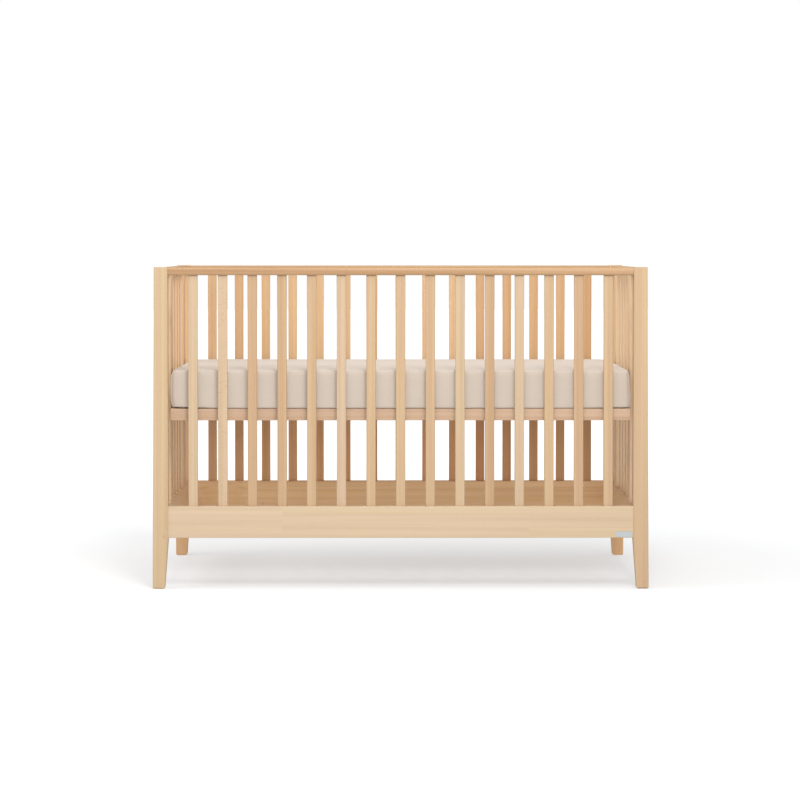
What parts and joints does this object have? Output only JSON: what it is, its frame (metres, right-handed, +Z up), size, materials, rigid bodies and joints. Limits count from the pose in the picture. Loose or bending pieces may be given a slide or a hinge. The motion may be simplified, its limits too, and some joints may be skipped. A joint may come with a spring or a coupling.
{
  "type": "baby crib",
  "caption": "Full-size wooden baby crib with tapered legs, slatted sides and ends, a height-adjustable slatted mattress support and a mattress in a fitted sheet.",
  "frame": {"origin": "on the floor under the centre of the crib", "axes": "+X along the length, to the right as seen from the front; +Y from the front to the back, so the front faces -Y; +Z up"},
  "size_m": [1.4188, 0.77, 0.92],
  "materials": {
    "beech_frame": "satin",
    "beech_rail": "satin",
    "beech_slat": "satin",
    "beech_support": "matte",
    "dowel_wood": "matte",
    "bracket_steel": "satin",
    "zinc_hardware": "satin",
    "insert_steel": "satin",
    "label": "matte",
    "mattress_cover": "matte",
    "sheet_cotton": "matte"
  },
  "bodies": {
    "frame": {"front_left_leg": "beech_frame", "front_right_leg": "beech_frame", "back_left_leg": "beech_frame", "back_right_leg": "beech_frame", "front_top_rail": "beech_rail", "back_top_rail": "beech_rail", "left_top_rail": "beech_rail", "right_top_rail": "beech_rail", "front_bottom_rail": "beech_frame", "back_bottom_rail": "beech_frame", "left_bottom_rail": "beech_frame", "right_bottom_rail": "beech_frame", "front_slat_01": "beech_slat", "front_slat_02": "beech_slat", "front_slat_03": "beech_slat", "front_slat_04": "beech_slat", "front_slat_05": "beech_slat", "front_slat_06": "beech_slat", "front_slat_07": "beech_slat", "front_slat_08": "beech_slat", "front_slat_09": "beech_slat", "front_slat_10": "beech_slat", "front_slat_11": "beech_slat", "front_slat_12": "beech_slat", "front_slat_13": "beech_slat", "front_slat_14": "beech_slat", "front_slat_15": "beech_slat", "back_slat_01": "beech_slat", "back_slat_02": "beech_slat", "back_slat_03": "beech_slat", "back_slat_04": "beech_slat", "back_slat_05": "beech_slat", "back_slat_06": "beech_slat", "back_slat_07": "beech_slat", "back_slat_08": "beech_slat", "back_slat_09": "beech_slat", "back_slat_10": "beech_slat", "back_slat_11": "beech_slat", "back_slat_12": "beech_slat", "back_slat_13": "beech_slat", "back_slat_14": "beech_slat", "back_slat_15": "beech_slat", "left_end_slats": "beech_slat", "left_end_stiles": "beech_slat", "right_end_slats": "beech_slat", "right_end_stiles": "beech_slat", "threaded_inserts": "insert_steel", "frame_bolts": "zinc_hardware", "barrel_nuts": "zinc_hardware", "dowels": "dowel_wood", "label_plate": "label"},
    "mattress_support": {"support_side_rails": "beech_support", "support_end_rails": "beech_support", "support_centre_rail": "beech_support", "support_slats": "beech_support", "support_brackets": "bracket_steel", "support_bolts": "zinc_hardware", "support_screws": "zinc_hardware"},
    "bedding": {"mattress": "mattress_cover", "fitted_sheet": "sheet_cotton"}
  },
  "joints": [
    {"name": "support_height", "type": "slide", "parent": "frame", "child": "mattress_support", "axis": [0, 0, 1], "range_m": [-0.32, 0]},
    {"name": "mattress_lift", "type": "slide", "parent": "mattress_support", "child": "bedding", "axis": [0, 0, 1], "range_m": [0, 0.45]}
  ]
}
